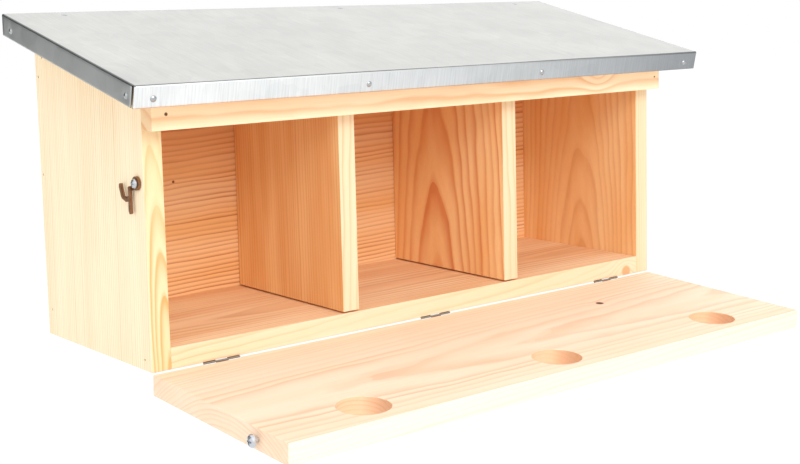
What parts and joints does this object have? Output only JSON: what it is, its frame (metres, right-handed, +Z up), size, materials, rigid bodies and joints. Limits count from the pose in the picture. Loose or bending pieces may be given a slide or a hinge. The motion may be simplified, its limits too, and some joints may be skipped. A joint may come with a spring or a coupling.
{
  "type": "bird nest box",
  "caption": "Wall-hung wooden nest box for sparrows: nests side by side behind a drop-down front flap with round entrances, under a sloping roof covered in sheet metal.",
  "frame": {"origin": "middle of the wall face's lower edge: the back panel's back face meets the underside there", "axes": "+X to the right seen from the front, +Y into the wall, +Z up; the front looks towards -Y"},
  "size_m": [0.505, 0.3031, 0.2481],
  "materials": {
    "outer_pine": "planed, untreated",
    "inner_pine": "planed, untreated",
    "galvanised_sheet": "galvanised, dull",
    "bronzed_steel": "bronze plated, satin",
    "hinge_steel": "dull",
    "zinc_plated_steel": "zinc plated"
  },
  "bodies": {
    "box": {"left_side_panel": "outer_pine", "right_side_panel": "outer_pine", "floor_board": "outer_pine", "lintel_rail": "outer_pine", "roof_board": "outer_pine", "back_panel": "inner_pine", "left_divider": "inner_pine", "right_divider": "inner_pine", "roof_sheet": "galvanised_sheet", "left_hanger_plate": "galvanised_sheet", "right_hanger_plate": "galvanised_sheet", "left_hinge_box_leaf": "hinge_steel", "left_hinge_pin": "hinge_steel", "middle_hinge_box_leaf": "hinge_steel", "middle_hinge_pin": "hinge_steel", "right_hinge_box_leaf": "hinge_steel", "right_hinge_pin": "hinge_steel", "front_fold_pins": "zinc_plated_steel", "left_fold_pins": "zinc_plated_steel", "right_fold_pins": "zinc_plated_steel", "roof_top_nails": "zinc_plated_steel", "roof_board_nails": "zinc_plated_steel", "left_side_brads": "zinc_plated_steel", "right_side_brads": "zinc_plated_steel", "lintel_nails": "zinc_plated_steel", "back_panel_brads": "zinc_plated_steel", "divider_floor_brads": "zinc_plated_steel", "hinge_box_screws": "zinc_plated_steel", "left_hook_screw": "zinc_plated_steel", "right_hook_screw": "zinc_plated_steel", "hanger_screws": "zinc_plated_steel"},
    "flap": {"front_flap": "outer_pine", "left_hinge_flap_leaf": "hinge_steel", "middle_hinge_flap_leaf": "hinge_steel", "right_hinge_flap_leaf": "hinge_steel", "hinge_flap_screws": "zinc_plated_steel", "left_catch_screw": "zinc_plated_steel", "right_catch_screw": "zinc_plated_steel"},
    "left_hook": {"left_hook": "bronzed_steel"},
    "right_hook": {"right_hook": "bronzed_steel"}
  },
  "joints": [
    {"name": "flap_hinge", "type": "hinge", "parent": "box", "child": "flap", "pos_m": [0, -0.15, -0.0006], "axis": [-1, 0, 0], "range_deg": [-86.8, 93.2]},
    {"name": "left_hook_pivot", "type": "hinge", "parent": "box", "child": "left_hook", "pos_m": [-0.2315, -0.1425, 0.12], "axis": [1, 0, 0], "range_deg": [-60, 203.7]},
    {"name": "right_hook_pivot", "type": "hinge", "parent": "box", "child": "right_hook", "pos_m": [0.2315, -0.1425, 0.12], "axis": [1, 0, 0], "range_deg": [-60, 203.7]}
  ]
}
